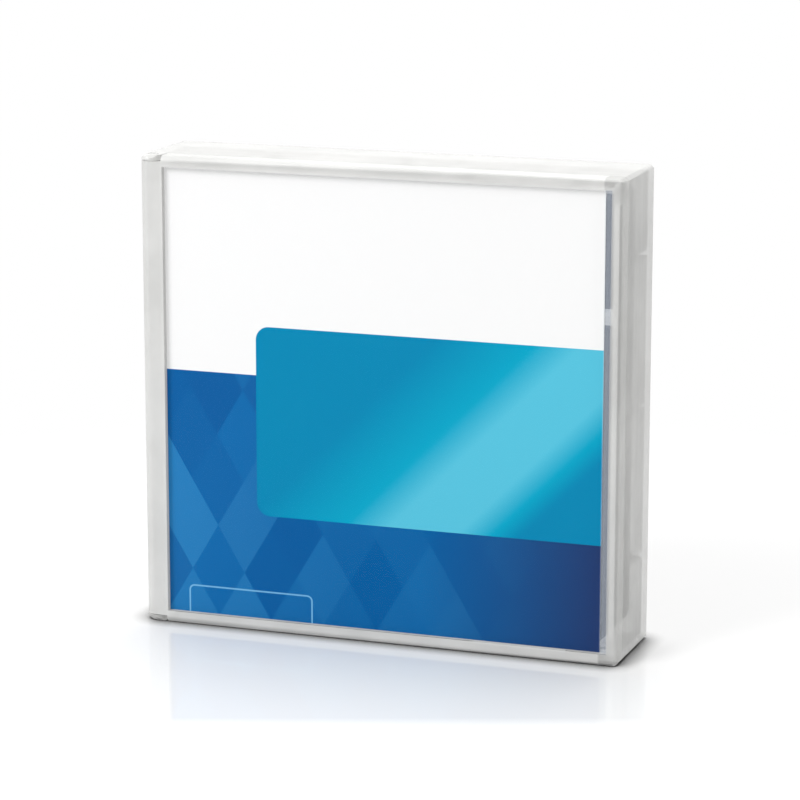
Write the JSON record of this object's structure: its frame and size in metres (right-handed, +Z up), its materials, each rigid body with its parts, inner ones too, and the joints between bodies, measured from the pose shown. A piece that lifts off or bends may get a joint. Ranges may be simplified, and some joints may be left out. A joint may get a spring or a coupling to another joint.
{
  "type": "data tape cartridge in a storage case",
  "caption": "Single-reel data tape cartridge in a hinged clear plastic storage case with a printed inlay card, standing on its long edge.",
  "frame": {"origin": "centre of the case's footprint on the surface it stands on", "axes": "+X towards the opening side of the case, +Y from the clear front to the back, +Z up"},
  "size_m": [0.115, 0.0258, 0.11],
  "materials": {
    "clear_lid": "clear front with a fine frosted margin",
    "frosted_tray": "frosted translucent moulding",
    "printed_card": "satin coated card, white above and blue below",
    "shell_plastic": "fine texture, near black",
    "door_plastic": "smooth dark grey",
    "switch_plastic": "smooth red",
    "steel": "plain steel",
    "spring_steel": "bright wire",
    "reel_plastic": "natural moulded white",
    "flange_plastic": "translucent",
    "tape": "smooth dark brown",
    "brake_plastic": "smooth",
    "chip_board": "green board with a dark die"
  },
  "bodies": {
    "case_tray": {"case_base": "frosted_tray", "lower_shell": "shell_plastic", "upper_shell": "shell_plastic", "shell_screws": "steel", "door_spring": "spring_steel", "leader_pin": "steel", "tape_clip": "reel_plastic", "pin_springs": "spring_steel", "leader_tape": "tape", "memory_chip": "chip_board", "brake_spring": "spring_steel"},
    "lid": {"case_lid": "clear_lid", "inlay_card": "printed_card"},
    "door": {"access_door": "door_plastic"},
    "protect_switch": {"write_protect_switch": "switch_plastic"},
    "reel": {"reel_hub": "reel_plastic", "upper_flange": "flange_plastic", "tape_pack": "tape", "drive_plate": "steel"},
    "reel_lock": {"brake_button": "brake_plastic"},
    "release": {"release_pad": "brake_plastic"}
  },
  "joints": [
    {"name": "lid_hinge", "type": "hinge", "parent": "case_tray", "child": "lid", "pos_m": [-0.0548, -0.0102, 0.055], "axis": [0, 0, -1], "range_deg": [0, 180]},
    {"name": "door_slide", "type": "slide", "parent": "case_tray", "child": "door", "axis": [1, 0, 0], "range_m": [0, 0.017], "stiffness_N_per_m": 20, "springref_m": -0.01, "deforming": ["door_spring"]},
    {"name": "write_protect_slide", "type": "slide", "parent": "case_tray", "child": "protect_switch", "axis": [0, 0, 1], "range_m": [0, 0.0034]},
    {"name": "reel_spin", "type": "hinge", "parent": "case_tray", "child": "reel", "pos_m": [0.0022, 0, 0.055], "axis": [0, 1, 0], "continuous": true},
    {"name": "lock_lift", "type": "slide", "parent": "case_tray", "child": "reel_lock", "axis": [0, -1, 0], "range_m": [0, 0.0018], "stiffness_N_per_m": 1500, "springref_m": -0.004, "deforming": ["brake_spring"]},
    {"name": "release_lift", "type": "slide", "parent": "reel", "child": "release", "axis": [0, -1, 0], "range_m": [0, 0.0018]}
  ],
  "couplings": [
    {"joint": "release_lift", "follows": "lock_lift", "ratio": 1}
  ]
}
